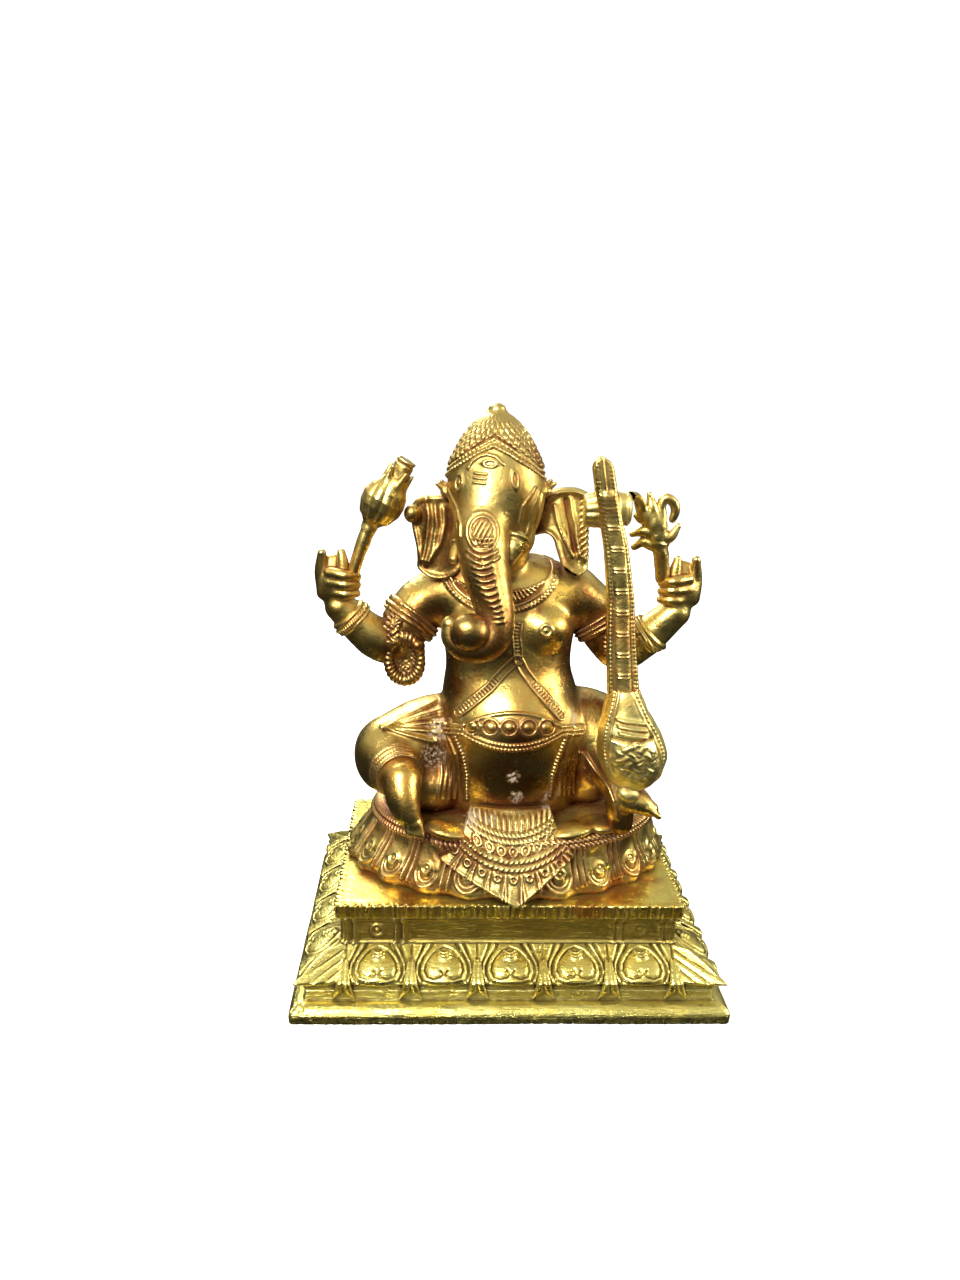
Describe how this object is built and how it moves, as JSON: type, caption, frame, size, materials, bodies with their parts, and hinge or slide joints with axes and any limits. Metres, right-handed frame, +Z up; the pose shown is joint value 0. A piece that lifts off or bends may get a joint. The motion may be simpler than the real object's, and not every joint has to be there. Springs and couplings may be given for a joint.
{
  "type": "ganesha idol",
  "caption": "Cast brass elephant-headed deity seated on a petal seat with a lute across the left knee, on a stepped rectangular pedestal carved with petals.",
  "frame": {"origin": "centre of the pedestal's underside", "axes": "+Z up along the figure's height, -Y towards the viewer (the figure's front), +X to the figure's left, where it holds the lute"},
  "size_m": [0.113, 0.09, 0.1524],
  "materials": {
    "pale_brass": "polished, filed, slightly green",
    "golden_brass": "polished, with red-brown patina in the hollows",
    "aged_brass": "half polished relief over dark red-brown patina"
  },
  "bodies": {
    "root": {"plinth_slab": "pale_brass", "lotus_moulding": "pale_brass", "dado_block": "pale_brass", "cap_slab": "pale_brass", "retaining_pin": "pale_brass", "lotus_seat": "aged_brass", "seat_cord": "aged_brass", "seat_apron": "aged_brass", "torso": "golden_brass", "right_leg": "golden_brass", "left_leg": "golden_brass", "head_and_trunk": "golden_brass", "crown": "golden_brass", "right_ear": "golden_brass", "left_ear": "golden_brass", "right_tusk": "golden_brass", "left_tusk": "golden_brass", "sweet_ball": "golden_brass", "right_arm": "golden_brass", "left_arm": "golden_brass", "lotus_bud": "golden_brass", "goad": "golden_brass", "veena_bowl": "golden_brass", "veena_neck": "golden_brass", "veena_gourd": "golden_brass", "girdle": "aged_brass", "collar_necklace": "aged_brass", "crossed_sash": "aged_brass", "armlets": "aged_brass", "bracelets": "golden_brass", "scarf_loops": "aged_brass", "right_anklet": "golden_brass"}
  },
  "joints": []
}
